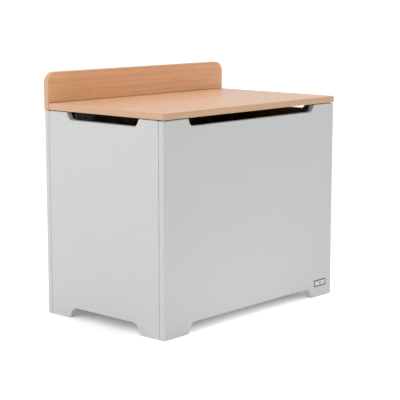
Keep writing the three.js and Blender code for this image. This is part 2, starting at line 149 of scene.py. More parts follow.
HOUSING = {
    "plate": 3 * MM,
    "plate_arris": (1 * MM, 0.2 * MM),
    "corner": 5 * MM,
    "barrel": 14.5 * MM,
    "barrel_arris": (0.8 * MM, 0.1 * MM),
    "ribs": 30,
    "rib_points": 6,
    "flute": 0.7 * MM,
    "bore": 3.3 * MM,
    "screw": 26 * MM,
}
BRACKET = {
    "foot": 2 * MM,
    "foot_arris": (0.5 * MM, 0.1 * MM),
    "corner": 3 * MM,
    "lug": 2.7 * MM,
    "lug_arris": 0.5 * MM,
    "radius": 7 * MM,
    "flare": ((1 * MM, -2 * MM), (3 * MM, 1 * MM)),  # (out from the lug's side, up from the foot)
    "screw": 13 * MM,
}
BUMPER = {"inset": 0.4 * MM, "dome": 0.5 * MM, "rim": (0.1 * MM, 0.7 * MM)}
CAM_LOCK = {
    "face": ((0.9 * MM, 0), (0.7 * MM, 0.3 * MM), (0.4 * MM, 0.3 * MM), (0, 0.7 * MM)),  # as a head's rim
    "bevel": 0.5 * MM,
    "cross": 4.4 * MM,
    "blade": 0.9 * MM,
    "recess": 2.6 * MM,
    "arris": 0.3 * MM,
    "turn": math.radians(28),
}
BADGE = {
    "border": 2.6 * MM,
    "corner": 1.6 * MM,
    "inner_corner": 0.6 * MM,
    "arris": (0.15 * MM, 0.05 * MM),
    "recess": 0.3 * MM,
    "skin": 0.15 * MM,  # thickness of the light field
    "skin_arris": 0.05 * MM,
    "dot": 2.6 * MM,
    "dot_set": 0.02 * MM,  # from the plate's face back to the dot's
}
BATTEN_SCREWS = {"inset": 28 * MM, "count": (5, 3)}
# The battens under the base panel, with the way into the box from each
BATTENS = {
    "front": Vector((0, 1, 0)),
    "rear": Vector((0, -1, 0)),
    "left": Vector((1, 0, 0)),
    "right": Vector((-1, 0, 0)),
}

# ---- Studio floor ----

FLOOR_HALF = 200.0
FLOOR_GLOW = (0.25, 0.38)
FLOOR_REACH = (0.5, 2.5)  # from the box, where the glow starts and stops growing
UNDER_BOX = (0.68, 0.95)  # in half widths or half depths of the box, where the glow comes back
UNDER_GLOW = (0.35, 1.0)  # how much of it is left under the box and outside it
POOL = {"middle": (0, -0.45, 0), "reach": 0.5, "glow": 0.7}  # where the floor in front is lit most


def middle(node):
    lo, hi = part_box(node)
    return (lo + hi) / 2


# ---- Shader nodes ----


class Nodes:
    """A node tree that is extended with short calls. Input values that are sockets are linked."""

    def __init__(self, tree):
        self.tree = tree

    def fill(self, node, inputs):
        for key, value in inputs.items():
            if isinstance(value, bpy.types.NodeSocket):
                self.tree.links.new(value, node.inputs[key])
            else:
                node.inputs[key].default_value = value

    def add(self, kind, inputs=None, **settings):
        node = self.tree.nodes.new(kind)
        for key, value in settings.items():
            setattr(node, key, value)
        self.fill(node, inputs or {})
        return node

    def math(self, operation, a, b=0.0, c=0.0):
        return self.add("ShaderNodeMath", {0: a, 1: b, 2: c}, operation=operation).outputs[0]

    def vector_math(self, operation, a, b):
        return self.add("ShaderNodeVectorMath", {0: a, 1: b}, operation=operation).outputs["Value"]


class Shader(Nodes):
    """A material and its nodes, with the place in the object as coordinates."""

    def __init__(self, name):
        self.material = bpy.data.materials.new(name)
        self.material.use_nodes = True
        super().__init__(self.material.node_tree)
        self.surface = self.tree.nodes["Principled BSDF"]
        self.coordinates = self.add("ShaderNodeTexCoord")
        self.place = self.coordinates.outputs["Object"]

    def set(self, **inputs):
        """Inputs of the surface, by their names with underscores for spaces."""
        self.fill(self.surface, {key.replace("_", " "): value for key, value in inputs.items()})

    def stretched(self, scale):
        """The place with each axis multiplied, so that a noise is drawn out along the smallest."""
        return self.add("ShaderNodeMapping", {"Vector": self.place, "Scale": scale}).outputs[0]

    def noise(self, vector, scale, detail=4.0, roughness=0.55):
        inputs = {"Vector": vector, "Scale": scale, "Detail": detail, "Roughness": roughness}
        return self.add("ShaderNodeTexNoise", inputs).outputs["Fac"]

    def remap(self, value, from_low, from_high, to_low, to_high):
        inputs = {"Value": value, 1: from_low, 2: from_high, 3: to_low, 4: to_high}
        return self.add("ShaderNodeMapRange", inputs).outputs[0]

    def mix(self, share, first, second):
        node = self.add("ShaderNodeMix", data_type="RGBA")
        self.fill(node, {0: share, 6: first, 7: second})
        return node.outputs[2]

    def bump(self, height, strength, distance, normal=None):
        inputs = {"Height": height, "Strength": strength, "Distance": distance}
        if normal is not None:
            inputs["Normal"] = normal
        return self.add("ShaderNodeBump", inputs).outputs["Normal"]

    def attribute(self, name):
        return self.add("ShaderNodeAttribute", attribute_name=name).outputs["Fac"]


def rgb(red, green, blue):
    """A linear colour with full alpha."""
    return (red, green, blue, 1.0)


def paint_material():
    """Satin lacquer: a faint roller texture, uneven sheen, and paler, warmer paint on the arrises as a
    painted highlight, partly wear.
    """
    s = Shader("satin_paint")
    cloudy = s.noise(s.place, 2.5, 3)
    mottled = s.noise(s.place, 55, 5)
    stipple = s.noise(s.place, 420, 2)
    tone = s.mix(cloudy, rgb(0.455, 0.457, 0.457), rgb(0.478, 0.479, 0.477))
    tone = s.mix(s.remap(mottled, 0.35, 0.65, 0, 0.05), tone, rgb(0.55, 0.55, 0.545))
    # Painted highlight, partly wear: paler, warmer paint halfway round each rounded arris.
    highlight_and_wear = s.math("MULTIPLY", s.attribute("arris"), s.remap(mottled, 0.3, 0.7, 0.1, 0.3))
    tone = s.mix(highlight_and_wear, tone, rgb(0.56, 0.535, 0.505))
    rough = s.remap(s.noise(s.place, 18, 6, 0.65), 0.3, 0.7, 0.38, 0.50)
    peel = s.bump(s.noise(s.place, 140, 2), 0.2, 0.1 * MM)
    s.set(Base_Color=tone, Roughness=rough, Normal=s.bump(stipple, 0.25, 0.04 * MM, peel))
    s.set(IOR=1.45, Coat_Weight=0.05, Coat_Roughness=0.3)
    return s.material


# Noises of the wood: how each is stretched, its detail and its roughness
GRAIN = {
    "ripple": ((5, 60, 60), 3, 0.55),
    "streaks": ((1.1, 80, 80), 5, 0.72),
    "fibres": ((7, 420, 420), 3, 0.6),
    "pores": ((22, 700, 700), 1, 0.4),
    "clouds": ((0.9, 5, 5), 2, 0.55),
    "bands": ((0.5, 26, 26), 3, 0.5),
}
RINGS_PER_METRE = 85


def wood_material(name, tones, coat, rough, relief=0.05 * MM, joint=None):
    """Wood whose grain runs along X: growth rings about an axis below the lid, streaks, fibres and pores.

    tones are the light and dark grain, the pores, and the blush that tints some of the broad bands. joint is
    the (y, z) of a line of painted shade along the gap beside another board.
    """
    light, dark, pore, blush = tones
    s = Shader(name)
    grain = {
        layer: s.noise(s.stretched(scale), 1.0, detail, roughness)
        for layer, (scale, detail, roughness) in GRAIN.items()
    }
    drift = s.noise(s.stretched((0.7, 3.0, 3.0)), 1.6, 3, 0.6)
    parts = s.add("ShaderNodeSeparateXYZ", {"Vector": s.place})
    across = s.math("ADD", parts.outputs[1], s.remap(drift, 0, 1, -0.05, 0.05))
    up = s.math("ADD", parts.outputs[2], s.remap(drift, 0, 1, -0.27, -0.33))
    radius = s.math("SQRT", s.math("ADD", s.math("MULTIPLY", across, across), s.math("MULTIPLY", up, up)))
    turns = s.math("MULTIPLY", radius, RINGS_PER_METRE)
    rings = s.math("FRACT", s.math("ADD", turns, s.math("MULTIPLY", grain["ripple"], 0.8)))
    late = s.math("POWER", rings, 3)
    pits = s.remap(grain["pores"], 0.61, 0.73, 0, 1)
    share = s.math("ADD", s.math("MULTIPLY", late, 0.34), s.remap(grain["streaks"], 0.33, 0.67, 0, 0.85))
    tone = s.mix(share, light, dark)
    tone = s.mix(s.remap(grain["bands"], 0.48, 0.66, 0, 0.6), tone, blush)
    tone = s.mix(s.remap(grain["fibres"], 0.35, 0.65, 0.0, 0.25), tone, dark)
    tone = s.mix(s.remap(grain["clouds"], 0.35, 0.65, 0.0, 0.2), tone, light)
    tone = s.mix(s.math("MULTIPLY", pits, 0.3), tone, pore)
    # Painted shade: a dark line along the gap where the backboard stands on the lid, on its front face only.
    if joint:
        beside = s.math("ABSOLUTE", s.math("SUBTRACT", parts.outputs[2], joint[1]))
        line = s.remap(beside, 0.8 * MM, 2.4 * MM, 0.85, 0)
        front = s.math("LESS_THAN", parts.outputs[1], joint[0])
        tone = s.mix(s.math("MULTIPLY", line, front), tone, pore)
    sheen = s.remap(s.noise(s.place, 24, 5, 0.6), 0.3, 0.7, rough - 0.03, rough + 0.05)
    height = s.math("SUBTRACT", s.math("MULTIPLY", grain["fibres"], 0.35), pits)
    s.set(Base_Color=tone, Roughness=sheen, Normal=s.bump(height, 0.2, relief))
    s.set(IOR=1.45, Coat_Weight=coat, Coat_Roughness=0.3)
    return s.material


def band_material(name, ends):
    """Edge banding: thin wood whose grain follows the edge. ends is its stretch on faces looking along X."""
    s = Shader(name)
    facing = s.add("ShaderNodeSeparateXYZ", {"Vector": s.coordinates.outputs["Normal"]}).outputs[0]
    at_end = s.math("GREATER_THAN", s.math("ABSOLUTE", facing), 0.6)
    along = s.noise(s.stretched((4, 330, 330)), 1.0, 4, 0.6)
    turned_grain = s.noise(s.stretched(ends), 1.0, 4, 0.6)
    grain = s.add("ShaderNodeMix", {0: at_end, 2: along, 3: turned_grain}, data_type="FLOAT").outputs[0]
    cloudy = s.noise(s.place, 9, 3)
    tone = s.mix(s.remap(grain, 0.32, 0.68, 0, 1), rgb(0.534, 0.330, 0.202), rgb(0.480, 0.288, 0.171))
    tone = s.mix(s.remap(cloudy, 0.35, 0.65, 0.0, 0.3), tone, rgb(0.510, 0.312, 0.187))
    # Painted highlight, partly wear: paler wood halfway round each rounded arris.
    tone = s.mix(s.math("MULTIPLY", s.attribute("arris"), 0.25), tone, rgb(0.57, 0.38, 0.245))
    s.set(Base_Color=tone, Roughness=s.remap(cloudy, 0.3, 0.7, 0.42, 0.5), IOR=1.45)
    s.set(Normal=s.bump(grain, 0.25, 0.03 * MM))
    return s.material


def steel_material():
    """Plated steel brushed along its length."""
    s = Shader("brushed_steel_plate")
    brushed = s.noise(s.stretched((25, 900, 900)), 1.0, 3, 0.6)
    smudge = s.noise(s.place, 35, 4)
    tone = s.mix(s.remap(brushed, 0.3, 0.7, 0, 1), rgb(0.50, 0.505, 0.51), rgb(0.66, 0.665, 0.67))
    rough = s.math("ADD", s.remap(brushed, 0.3, 0.7, 0.24, 0.38), s.remap(smudge, 0.4, 0.7, 0, 0.08))
    s.set(Base_Color=tone, Roughness=rough, Normal=s.bump(brushed, 0.25, 0.02 * MM))
    s.set(Metallic=1.0)
    return s.material


def zinc_material():
    """Die-cast and plated: fine grain and slightly cloudy."""
    s = Shader("zinc_casting")
    cloudy = s.noise(s.place, 120, 5, 0.65)
    grain = s.noise(s.place, 1800, 2)
    tone = s.mix(cloudy, rgb(0.40, 0.405, 0.415), rgb(0.60, 0.605, 0.61))
    s.set(Base_Color=tone, Roughness=s.remap(cloudy, 0.3, 0.7, 0.30, 0.46))
    s.set(Normal=s.bump(grain, 0.3, 0.02 * MM), Metallic=1.0)
    return s.material


def plastic_material():
    """Dark moulded nylon with a spark-eroded texture."""
    s = Shader("moulded_nylon")
    texture = s.noise(s.place, 1500, 3, 0.7)
    patches = s.noise(s.place, 60, 3)
    tone = s.mix(patches, rgb(0.018, 0.019, 0.021), rgb(0.030, 0.031, 0.033))
    # Painted highlight, partly wear: paler nylon halfway round each rounded arris.
    highlight_and_wear = s.math("MULTIPLY", s.attribute("arris"), 0.3)
    tone = s.mix(highlight_and_wear, tone, rgb(0.07, 0.07, 0.072))
    s.set(Base_Color=tone, Roughness=s.remap(patches, 0.3, 0.7, 0.42, 0.55))
    s.set(Normal=s.bump(texture, 0.35, 0.04 * MM))
    return s.material


def rubber_material():
    s = Shader("bumper_rubber")
    dusty = s.noise(s.place, 240, 5, 0.7)
    tone = s.mix(dusty, rgb(0.20, 0.20, 0.195), rgb(0.31, 0.31, 0.30))
    s.set(Base_Color=tone, Roughness=s.remap(dusty, 0.3, 0.7, 0.6, 0.85))
    s.set(Normal=s.bump(dusty, 0.3, 0.05 * MM))
    return s.material


def badge_material(name, first, second, rough):
    """Thin anodised metal, brushed along X."""
    s = Shader(name)
    brushed = s.noise(s.stretched((40, 1600, 1600)), 1.0, 3, 0.6)
    sheen = s.remap(brushed, 0.3, 0.7, rough, rough + 0.15)
    s.set(Base_Color=s.mix(brushed, first, second), Roughness=sheen)
    s.set(Normal=s.bump(brushed, 0.3, 0.015 * MM), Metallic=0.5)
    return s.material


def floor_material():
    """A white studio floor that glows a little, less under the box and more in a pool in front of it."""
    s = Shader("studio_floor")
    soft = s.noise(s.place, 1.2, 2)
    s.set(Base_Color=s.mix(soft, rgb(0.780, 0.795, 0.800), rgb(0.800, 0.815, 0.820)), Roughness=0.9)
    parts = s.add("ShaderNodeSeparateXYZ", {"Vector": s.place})
    across = s.math("DIVIDE", s.math("ABSOLUTE", parts.outputs[0]), cad_bounds[1].x)
    along = s.math("DIVIDE", s.math("ABSOLUTE", parts.outputs[1]), cad_bounds[1].y)
    under = s.remap(s.math("MAXIMUM", across, along), *UNDER_BOX, *UNDER_GLOW)
    glow = s.remap(s.vector_math("DISTANCE", s.place, (0, 0, 0)), *FLOOR_REACH, *FLOOR_GLOW)
    to_pool = s.vector_math("DISTANCE", s.place, POOL["middle"])
    glow = s.math("ADD", glow, s.remap(to_pool, 0, POOL["reach"], POOL["glow"], 0))
    glow = s.math("MULTIPLY", glow, under)
    s.set(IOR=1.2, Emission_Color=rgb(1, 1, 1), Emission_Strength=glow)
    return s.material


OAK_TONES = (
    rgb(0.665, 0.418, 0.240),
    rgb(0.520, 0.275, 0.147),
    rgb(0.28, 0.13, 0.06),
    rgb(0.660, 0.350, 0.227),
)
WARM_OAK_TONES = (
    rgb(0.71, 0.410, 0.210),
    rgb(0.56, 0.267, 0.126),
    rgb(0.30, 0.13, 0.05),
    rgb(0.705, 0.342, 0.198),
)
PINE_TONES = (
    rgb(0.66, 0.52, 0.35),
    rgb(0.54, 0.38, 0.22),
    rgb(0.40, 0.26, 0.14),
    rgb(0.63, 0.48, 0.30),
)
# Where the painted shade line runs: along the top of the lid, on the backboard's front face only.
LID_JOINT_SHADE = (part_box("backboard")[0].y + 1 * MM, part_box("lid")[1].z)  # only on the backboard's front face

PAINT = paint_material()
OAK = wood_material("oak_finish", OAK_TONES, 0.95, 0.40)
BACKBOARD_OAK = wood_material("oak_finish_backboard", WARM_OAK_TONES, 0.5, 0.40, joint=LID_JOINT_SHADE)
LID_BAND = band_material("oak_band_lid", (330, 4, 330))
BACKBOARD_BAND = band_material("oak_band_backboard", (330, 330, 4))
PINE = wood_material("plain_pine", PINE_TONES, 0.0, 0.6, relief=0.1 * MM)
STEEL = steel_material()
ZINC = zinc_material()
NYLON = plastic_material()
RUBBER = rubber_material()
BADGE_DARK = badge_material("badge_border", rgb(0.085, 0.087, 0.09), rgb(0.12, 0.122, 0.125), 0.45)
BADGE_LIGHT = badge_material("badge_field", rgb(0.50, 0.505, 0.51), rgb(0.60, 0.605, 0.61), 0.4)
FLOOR = floor_material()

# ---- Pieces ----


def coated(mesh, *materials):
    """The mesh with these materials in place of any others. Clearing puts every face on the first."""
    if mesh.materials:
        mesh.materials.clear()
    for material in materials:
        mesh.materials.append(material)
    return mesh


def piece(name, mesh, material, body, stands_for=()):
    """An object that rides on a body of the frame. Without a material, the mesh keeps its own."""
    made = bpy.data.objects.new(name, mesh)
    bpy.context.scene.collection.objects.link(made)
    if material:
        coated(mesh, material)
    mesh.shade_smooth()
    mesh.set_sharp_from_angle(angle=SHARP_ANGLE)
    weighted = made.modifiers.new("even_faces", "WEIGHTED_NORMAL")
    weighted.keep_sharp = True
    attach(made, body)
    if stands_for:
        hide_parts(*stands_for)


def carried(node, material):
    """A node of the frame that keeps its shape and gets a material."""
    coated(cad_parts[node].data, material)


PLANES = {
    "XZ": lambda u, v, w: (u, w, v),
    "YZ": lambda u, v, w: (w, u, v),
    "XY": lambda u, v, w: (u, v, w),
}


def inward(points):
    """For each point of a closed anticlockwise outline, the step into it that moves both its edges by 1."""
    steps = []
    for i, (u, v, _) in enumerate(points):
        before, after = points[i - 1], points[(i + 1) % len(points)]
        first = Vector((before[1] - v, u - before[0])).normalized()
        second = Vector((v - after[1], after[0] - u)).normalized()
        steps.append((first + second) / (1 + first.dot(second)))
    return steps


def board(points, plane, span, arris, edge=0):
    """A flat piece between the two values of span, with quarter-round arrises.

    points are (u, v, share) anticlockwise, and arris is the two faces' radii, which share scales at a point.
    The faces keep material 0, and the edge all round, with its arrises, gets the material number edge.
    """
    place = PLANES[plane]
    steps = inward(points)
    bm = bmesh.new()
    # The arris layer is 1 halfway round each rounded arris and 0 on the faces; the materials paint a
    # highlight, partly wear, from it.
    highlight_and_wear_mask = bm.verts.layers.float.new("arris")
    rings = []
    for end, radius, sign in ((span[0], arris[0], 1), (span[1], arris[1], -1)):
        turns = [QUARTER * i / ARRIS_STEPS for i in range(ARRIS_STEPS + 1)] if radius else [QUARTER]
        for turn in turns if sign > 0 else turns[::-1]:
            ring = []
            for (u, v, share), step in zip(points, steps):
                inset = radius * share * (1 - math.sin(turn))
                depth = end + sign * radius * share * (1 - math.cos(turn))
                vertex = bm.verts.new(place(u + step.x * inset, v + step.y * inset, depth))
                vertex[highlight_and_wear_mask] = math.sin(2 * turn)
                ring.append(vertex)
            rings.append(ring)
    for ring, following in zip(rings, rings[1:]):
        for i in range(len(ring)):
            bm.faces.new((ring[i - 1], ring[i], following[i], following[i - 1])).material_index = edge
    bm.faces.new(rings[0])
    bm.faces.new(rings[-1][::-1])
    bmesh.ops.recalc_face_normals(bm, faces=bm.faces)
    return finished(bm)


def finished(bm):
    """The mesh that has been built, ready for an object."""
    mesh = bpy.data.meshes.new("shape")
    bm.to_mesh(mesh)
    bm.free()
    return mesh


def corner(u, v, start, radius, shares=(1, 1), steps=CORNER_STEPS):
    """A round corner of an outline about (u, v), from the start angle on through a quarter turn."""
    points = []
    for i in range(steps + 1):
        turn = start + QUARTER * i / steps
        share = shares[0] + (shares[1] - shares[0]) * i / steps
        points.append((u + radius * math.cos(turn), v + radius * math.sin(turn), share))
    return points


def rectangle(u0, v0, u1, v1, radius):
    return [
        *corner(u0 + radius, v0 + radius, 2 * QUARTER, radius),
        *corner(u1 - radius, v0 + radius, 3 * QUARTER, radius),
        *corner(u1 - radius, v1 - radius, 0, radius),
        *corner(u0 + radius, v1 - radius, QUARTER, radius),
    ]


def circle(u, v, radius, steps):
    turns = [2 * math.pi * i / steps for i in range(steps)]
    return [(u + radius * math.cos(t), v + radius * math.sin(t), 1) for t in turns]


def stadium(start, end, radius, steps=16):
    """A bar with round ends about the two points."""
    heading = math.atan2(end[1] - start[1], end[0] - start[0])
    points = []
    for (u, v), first in ((start, heading + QUARTER), (end, heading - QUARTER)):
        turns = [first + math.pi * i / steps for i in range(steps + 1)]
        points += [(u + radius * math.cos(t), v + radius * math.sin(t), 1) for t in turns]
    return points


def cross(reach, half):
    """A plus sign about the origin."""
    quarter = [(reach, -half), (reach, half), (half, half)]
    points = []
    for i in range(4):
        c, s = round(math.cos(i * QUARTER)), round(math.sin(i * QUARTER))
        points += [(u * c - v * s, u * s + v * c, 1) for u, v in quarter]
    return points


def turned(profile, axis, centre, steps=48):
    """A solid turned about an axis through centre. profile is (radius, height) pairs from axis to axis."""
    bm = bmesh.new()
    bm.verts.layers.float.new("arris")
    rings = []
    for radius, height in profile:
        count = 1 if radius == 0 else steps
        turns = [2 * math.pi * i / count for i in range(count)]
        rings.append([bm.verts.new((radius * math.cos(t), radius * math.sin(t), height)) for t in turns])
    for ring, following in zip(rings, rings[1:]):
        for i in range(steps):
            loop = [ring[i - 1 if len(ring) > 1 else 0], ring[i % len(ring)]]
            loop += [following[i % len(following)], following[i - 1 if len(following) > 1 else 0]]
            corners = list(dict.fromkeys(loop))
            if len(corners) > 2:
                bm.faces.new(corners)
    turn = Vector((0, 0, 1)).rotation_difference(Vector(axis)).to_matrix().to_4x4()
    bm.transform(Matrix.Translation(Vector(centre)) @ turn)
    bmesh.ops.recalc_face_normals(bm, faces=bm.faces)
    return finished(bm)


def rod(radius, axis, start, end):
    """A plain cylinder between two points, used to cut holes."""
    start = Vector(start)
    length = (Vector(end) - start).length
    return turned([(0, 0), (radius, 0), (radius, length), (0, length)], axis, start, ROUND_STEPS)


def bore(radius, start, end, y, z):
    """A cutter along X through the two x values."""
    return rod(radius, (1, 0, 0), (start - BEYOND, y, z), (end + BEYOND, y, z))


def merged(meshes):
    bm = bmesh.new()
    for mesh in meshes:
        bm.from_mesh(mesh)
    return finished(bm)


def repeated(mesh, moves):
    """Copies of the mesh, each moved by its own matrix, as one mesh."""
    copies = [mesh.copy() for _ in moves]
    for copy, move in zip(copies, moves):
        copy.transform(move)
    return merged(copies)


def sided(mesh, side):
    """A mesh built for the right side, or its mirror image for the left."""
    if side == "left":
        mesh.transform(Matrix.Scale(-1, 4, (1, 0, 0)))
        mesh.flip_normals()
    return mesh


def combined(mesh, others, operation):
    """The mesh cut by the others, or joined with them."""
    body = bpy.data.objects.new("body", mesh)
    tool = bpy.data.objects.new("tool", merged(others))
    for part in (body, tool):
        bpy.context.scene.collection.objects.link(part)
    boolean = body.modifiers.new("combine", "BOOLEAN")
    boolean.operation = operation
    boolean.solver = "EXACT"
    boolean.use_self = operation == "UNION"
    boolean.object = tool
    graph = bpy.context.evaluated_depsgraph_get()
    result = bpy.data.meshes.new_from_object(body.evaluated_get(graph))
    for part in (body, tool):
        bpy.data.objects.remove(part)
    return result


def cut(mesh, tools):
    return combined(mesh, tools, "DIFFERENCE")


def joined(mesh, others):
    return combined(mesh, others, "UNION")


# ---- Panels ----


def notch_end(notch, kind):
    """Half of a notch, from the board's edge to its flat, as (distance from its middle, depth) pairs."""
    rise = 1 - math.cos(NOTCH_SLOPE)
    curves = notch["lip"] + notch["hollow"]
    run = (notch["depth"] - curves * rise) / math.tan(NOTCH_SLOPE)
    mouth = notch[kind]
    flat = mouth - run - curves * math.sin(NOTCH_SLOPE)
    turns = [NOTCH_SLOPE * i / NOTCH_STEPS for i in range(NOTCH_STEPS + 1)]
    lip = [(mouth - notch["lip"] * math.sin(t), notch["lip"] * (1 - math.cos(t))) for t in turns]
    bottom, deep = notch["depth"], notch["hollow"]
    hollow = [(flat + deep * math.sin(t), bottom - deep * (1 - math.cos(t))) for t in reversed(turns)]
    return lip + hollow


def panel_outline(u0, u1, top, kind, has_slot, end_share):
    """An upright panel with an arch in its foot and, if it has one, a hand slot in its top edge."""
    r = PANEL_CORNER
    arch = notch_end(ARCH, kind)
    points = corner(u0 + r, r, 2 * QUARTER, r, (end_share, 1))
    points += [(-u, v, 1) for u, v in arch]
    points += [(u, v, 1) for u, v in reversed(arch)]
    points += corner(u1 - r, r, 3 * QUARTER, r, (1, end_share))
    points += corner(u1 - r, top - r, 0, r, (end_share, 1))
    if has_slot:
        shares = [LIP_SHARE] * (NOTCH_STEPS + 1) + [1] * (NOTCH_STEPS + 1)
        slot = [(u, top - v, share) for (u, v), share in zip(notch_end(SLOT, kind), shares)]
        points += slot
        points += [(-u, v, share) for u, v, share in reversed(slot)]
    points += corner(u0 + r, top - r, QUARTER, r, (1, end_share))
    return points


def hole_for(node, axis, spare=FIT, face=None):
    """A cutter for a round hidden piece: its box's size plus spare, run on past the board's face if set."""
    lo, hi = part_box(node)
    radius = max(hi[i] - lo[i] for i in range(3) if i != axis) / 2 + spare
    start, end = middle(node), middle(node)
    start[axis] = lo[axis] - spare
    end[axis] = hi[axis] + spare
    if face is not None and face < lo[axis]:
        start[axis] = face - BEYOND
    elif face is not None:
        end[axis] = face + BEYOND
    direction = Vector((0, 0, 0))
    direction[axis] = 1
    return rod(radius, direction, start, end)


def fittings(end, side):
    """The hidden fittings at one upright seam: (bolts, locks, dowel)."""
    seam = f"{end}_{side}"
    bolts = [f"{seam}_{level}_cam_bolt" for level in ("upper", "lower")]
    locks = [f"{seam}_{level}_cam_lock" for level in ("upper", "lower")]
    return bolts, locks, f"{seam}_corner_dowel"


def cross_panel_holes(end):
    holes = []
    for side in SIDES:
        bolts, _, dowel = fittings(end, side)
        holes += [hole_for(bolt, 1) for bolt in bolts]
        holes.append(hole_for(dowel, 1))
    return holes


def side_panel_holes(side):
    lo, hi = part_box(f"{side}_side_panel")
    inner = lo.x if side == "right" else hi.x
    holes = []
    for end in ("front", "rear"):
        bolts, locks, dowel = fittings(end, side)
        holes += [hole_for(bolt, 1) for bolt in bolts]
        holes.append(hole_for(dowel, 1))
        holes += [hole_for(lock, 0, face=inner) for lock in locks]
    return holes


def make_panels():
    for name, end, arris, has_slot in (
        ("front_panel", "front", (OUTER_ARRIS, INNER_ARRIS), True),
        ("back_panel", "rear", (INNER_ARRIS, OUTER_ARRIS), False),
    ):
        lo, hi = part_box(name)
        outline = panel_outline(lo.x, hi.x, hi.z, "cross", has_slot, END_SHARE)
        shape = board(outline, "XZ", (lo.y, hi.y), arris)
        holes = cross_panel_holes(end)
        if not has_slot:
            holes += [hole_for(f"{side}_backboard_dowel", 2) for side in SIDES]
        piece(name + "_board", cut(shape, holes), PAINT, "box", [name])
    for side in SIDES:
        name = f"{side}_side_panel"
        lo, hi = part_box(name)
        outline = panel_outline(lo.y + SEAM_ROOM, hi.y - SEAM_ROOM, hi.z, "side", True, SEAM_SHARE)
        arris = (OUTER_ARRIS, INNER_ARRIS) if side == "left" else (INNER_ARRIS, OUTER_ARRIS)
        shape = board(outline, "YZ", (lo.x, hi.x), arris)
        piece(name + "_board", cut(shape, side_panel_holes(side)), PAINT, "box", [name])


def make_base():
    lo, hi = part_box("base_panel")
    outline = rectangle(lo.x, lo.y, hi.x, hi.y, BASE_CORNER)
    shape = board(outline, "XY", (lo.z, hi.z), (INNER_ARRIS, INNER_ARRIS))
    piece("base_panel_board", shape, PAINT, "box", ["base_panel"])
    for place, inside in BATTENS.items():
        name = f"{place}_base_batten"
        lo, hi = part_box(name)
        centre = (lo + hi) / 2
        outline = rectangle(lo.x, lo.y, hi.x, hi.y, BATTEN_CORNER)
        shape = board(outline, "XY", (lo.z, hi.z), (BATTEN_ARRIS, BATTEN_ARRIS))
        along = 1 if inside.x else 0
        half = (hi[along] - lo[along]) / 2 - BATTEN_SCREWS["inset"]
        count = BATTEN_SCREWS["count"][along]
        below, beside = [], []
        for i in range(count):
            spot = centre.copy()
            spot[along] += half * (2 * i / (count - 1) - 1)
            below.append(Vector((spot.x, spot.y, lo.z)))
            if i:
                spot[along] -= half / (count - 1)
                beside.append(spot + inside * (hi.x - lo.x if inside.x else hi.y - lo.y) / 2)
        heads = [screw_moves(below, (0, 0, -1)), screw_moves(beside, inside)]
        shape = cut(shape, [repeated(SINK, moves) for moves in heads])
        piece(name + "_bar", shape, PINE, "box", [name])
        screws = merged([repeated(SCREW, moves) for moves in heads])
        piece(name + "_screws", screws, ZINC, "box")


# ---- Lid and backboard ----


def make_lid():
    """The lid, with a recess in its rear edge for each hinge."""
    lo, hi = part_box("lid")
    r = LID_CORNER
    recess, share = RECESS["corner"], RECESS["share"]
    outline = corner(lo.x + r, lo.y + r, 2 * QUARTER, r)
    outline += corner(hi.x - r, lo.y + r, 3 * QUARTER, r)
    outline += corner(hi.x - r, hi.y - r, 0, r, (1, LID_REAR_SHARE))
    for side in ("right", "left"):
        leaf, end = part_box(f"{side}_hinge_moving_leaf")
        u0, u1 = leaf.x - RECESS["room"], end.x + RECESS["room"]
        floor = middle(f"{side}_hinge_pin").y - RECESS["depth"]
        outline += [(u1 + r, hi.y, LID_REAR_SHARE), (u1, hi.y - recess, share), (u1, floor + recess, share)]
        outline += [(u1 - recess, floor, share), (u0 + recess, floor, share)]
        outline += [(u0, floor + recess, share), (u0, hi.y - recess, share), (u0 - r, hi.y, LID_REAR_SHARE)]
    outline += corner(lo.x + r, hi.y - r, QUARTER, r, (LID_REAR_SHARE, 1))
    shape = board(outline, "XY", (lo.z, hi.z), (LID_ARRIS, LID_ARRIS), edge=1)
    piece("lid_board", coated(shape, OAK, LID_BAND), None, "lid", ["lid"])


def make_backboard():
    lo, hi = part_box("backboard")
    r = BACKBOARD_CORNER
    foot = BACKBOARD_FOOT
    outline = corner(lo.x + foot, lo.z + foot, 2 * QUARTER, foot, (1, FOOT_SHARE))
    outline += corner(hi.x - foot, lo.z + foot, 3 * QUARTER, foot, (FOOT_SHARE, 1))
    outline += corner(hi.x - r, hi.z - r, 0, r, steps=BACKBOARD_STEPS)
    outline += corner(lo.x + r, hi.z - r, QUARTER, r, steps=BACKBOARD_STEPS)
    shape = board(outline, "XZ", (lo.y, hi.y), (LID_ARRIS, LID_ARRIS), edge=1)
    holes = [hole_for(f"{side}_backboard_dowel", 2) for side in SIDES]
    shape = cut(coated(shape, BACKBOARD_OAK, BACKBOARD_BAND), holes)
    piece("backboard_board", shape, None, "box", ["backboard"])


# ---- Fittings ----


def dome(radius, height, steps=7):
    """Profile of a shallow dome from its top on the axis out to its rim."""
    turns = [QUARTER * i / steps for i in range(steps + 1)]
    return [(radius * math.sin(t), height * (1 - math.cos(t))) for t in turns]


def flipped(profile, length):
    """A turned profile seen from the other end of a length."""
    return [(radius, length - height) for radius, height in reversed(profile)]


def make_screw():
    """A countersunk screw with a cross recess, its face at z = 0 looking along +Z."""
    head = HEAD["radius"]
    profile = [(0, -HEAD["length"]), (HEAD["shank"], -HEAD["length"]), (HEAD["shank"], -HEAD["depth"])]
    profile += [(head - inset, -under) for inset, under in HEAD["rim"]] + [(0, 0)]
    outline = cross(HEAD["cross"], HEAD["blade"])
    recess = board(outline, "XY", (-HEAD["recess"], BEYOND), (HEAD["blade"] / 2, 0))
    return cut(turned(profile, (0, 0, 1), (0, 0, 0), SMALL_STEPS), [recess])


